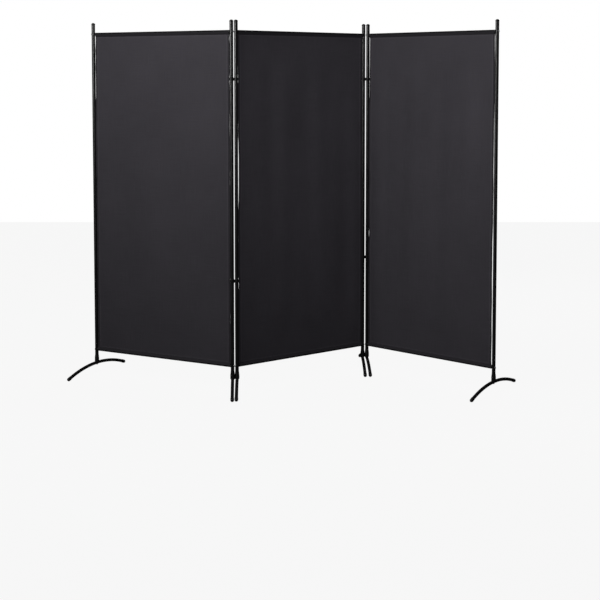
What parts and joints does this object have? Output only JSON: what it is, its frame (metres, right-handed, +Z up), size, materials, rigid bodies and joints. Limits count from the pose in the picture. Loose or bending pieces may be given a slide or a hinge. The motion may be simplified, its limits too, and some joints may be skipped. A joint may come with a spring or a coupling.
{
  "type": "folding room divider screen",
  "caption": "Free-standing folding screen: cloth leaves sleeved over tube frames, joined by post clips, each post on an arched swivelling foot.",
  "frame": {"origin": "middle of the footprint at floor level, with the leaves standing in their zig-zag", "axes": "+Z up, +X along the screen's overall width, -Y towards the side on which the left hinge stands forward"},
  "size_m": [2.2535, 1.1052, 1.8],
  "materials": {
    "cloth": "matt woven polyester",
    "black_tube": "gloss black powder coat",
    "black_plastic": "satin moulded black",
    "zinc": "bright zinc plate"
  },
  "bodies": {
    "middle_leaf": {"middle_left_post": "black_tube", "middle_right_post": "black_tube", "middle_top_rail": "black_tube", "middle_bottom_rail": "black_tube", "middle_rail_nuts": "zinc", "middle_rail_bolts": "zinc", "middle_post_caps": "black_plastic", "middle_foot_plugs": "black_plastic", "middle_cloth": "cloth"},
    "left_clips": {"left_upper_clip": "black_plastic", "left_lower_clip": "black_plastic"},
    "left_leaf": {"left_outer_post": "black_tube", "left_inner_post": "black_tube", "left_top_rail": "black_tube", "left_bottom_rail": "black_tube", "left_rail_nuts": "zinc", "left_rail_bolts": "zinc", "left_post_caps": "black_plastic", "left_foot_plugs": "black_plastic", "left_cloth": "cloth"},
    "right_clips": {"right_upper_clip": "black_plastic", "right_lower_clip": "black_plastic"},
    "right_leaf": {"right_inner_post": "black_tube", "right_outer_post": "black_tube", "right_top_rail": "black_tube", "right_bottom_rail": "black_tube", "right_rail_nuts": "zinc", "right_rail_bolts": "zinc", "right_post_caps": "black_plastic", "right_foot_plugs": "black_plastic", "right_cloth": "cloth"},
    "left_outer_foot": {"left_outer_foot_arch": "black_tube", "left_outer_foot_stem": "black_plastic", "left_outer_foot_bolt": "zinc", "left_outer_foot_tip_caps": "black_plastic"},
    "left_inner_foot": {"left_inner_foot_arch": "black_tube", "left_inner_foot_stem": "black_plastic", "left_inner_foot_bolt": "zinc", "left_inner_foot_tip_caps": "black_plastic"},
    "middle_left_foot": {"middle_left_foot_arch": "black_tube", "middle_left_foot_stem": "black_plastic", "middle_left_foot_bolt": "zinc", "middle_left_foot_tip_caps": "black_plastic"},
    "middle_right_foot": {"middle_right_foot_arch": "black_tube", "middle_right_foot_stem": "black_plastic", "middle_right_foot_bolt": "zinc", "middle_right_foot_tip_caps": "black_plastic"},
    "right_inner_foot": {"right_inner_foot_arch": "black_tube", "right_inner_foot_stem": "black_plastic", "right_inner_foot_bolt": "zinc", "right_inner_foot_tip_caps": "black_plastic"},
    "right_outer_foot": {"right_outer_foot_arch": "black_tube", "right_outer_foot_stem": "black_plastic", "right_outer_foot_bolt": "zinc", "right_outer_foot_tip_caps": "black_plastic"}
  },
  "joints": [
    {"name": "left_fold", "type": "hinge", "parent": "middle_leaf", "child": "left_clips", "pos_m": [-0.26293, -0.27255, 0], "axis": [0, 0, 1], "range_deg": [-34, 36]},
    {"name": "left_leaf_turn", "type": "hinge", "parent": "left_clips", "child": "left_leaf", "pos_m": [-0.28426, -0.28116, 0], "axis": [0, 0, 1], "range_deg": [-34, 36]},
    {"name": "middle_left_foot_turn", "type": "hinge", "parent": "middle_leaf", "child": "middle_left_foot", "pos_m": [-0.26293, -0.27255, 0], "axis": [0, 0, 1], "range_deg": [-34, 36]},
    {"name": "left_inner_foot_turn", "type": "hinge", "parent": "left_leaf", "child": "left_inner_foot", "pos_m": [-0.28426, -0.28116, 0], "axis": [0, 0, 1], "range_deg": [-36, 34]},
    {"name": "left_outer_foot_turn", "type": "hinge", "parent": "left_leaf", "child": "left_outer_foot", "pos_m": [-1.00885, 0.15422, 0], "axis": [0, 0, 1], "range_deg": [-96, 84]},
    {"name": "right_fold", "type": "hinge", "parent": "middle_leaf", "child": "right_clips", "pos_m": [0.37505, 0.28204, 0], "axis": [0, 0, 1], "range_deg": [-26.5, 43.5]},
    {"name": "right_leaf_turn", "type": "hinge", "parent": "right_clips", "child": "right_leaf", "pos_m": [0.39777, 0.28564, 0], "axis": [0, 0, 1], "range_deg": [-26.5, 43.5]},
    {"name": "middle_right_foot_turn", "type": "hinge", "parent": "middle_leaf", "child": "middle_right_foot", "pos_m": [0.37505, 0.28204, 0], "axis": [0, 0, 1], "range_deg": [-26.5, 43.5]},
    {"name": "right_inner_foot_turn", "type": "hinge", "parent": "right_leaf", "child": "right_inner_foot", "pos_m": [0.39777, 0.28564, 0], "axis": [0, 0, 1], "range_deg": [-43.5, 26.5]},
    {"name": "right_outer_foot_turn", "type": "hinge", "parent": "right_leaf", "child": "right_outer_foot", "pos_m": [0.98498, -0.32244, 0], "axis": [0, 0, 1], "range_deg": [-105, 75]}
  ],
  "couplings": [
    {"joint": "left_leaf_turn", "follows": "left_fold", "ratio": 1},
    {"joint": "middle_left_foot_turn", "follows": "left_fold", "ratio": 1},
    {"joint": "left_inner_foot_turn", "follows": "left_fold", "ratio": -1},
    {"joint": "right_leaf_turn", "follows": "right_fold", "ratio": 1},
    {"joint": "middle_right_foot_turn", "follows": "right_fold", "ratio": 1},
    {"joint": "right_inner_foot_turn", "follows": "right_fold", "ratio": -1}
  ]
}
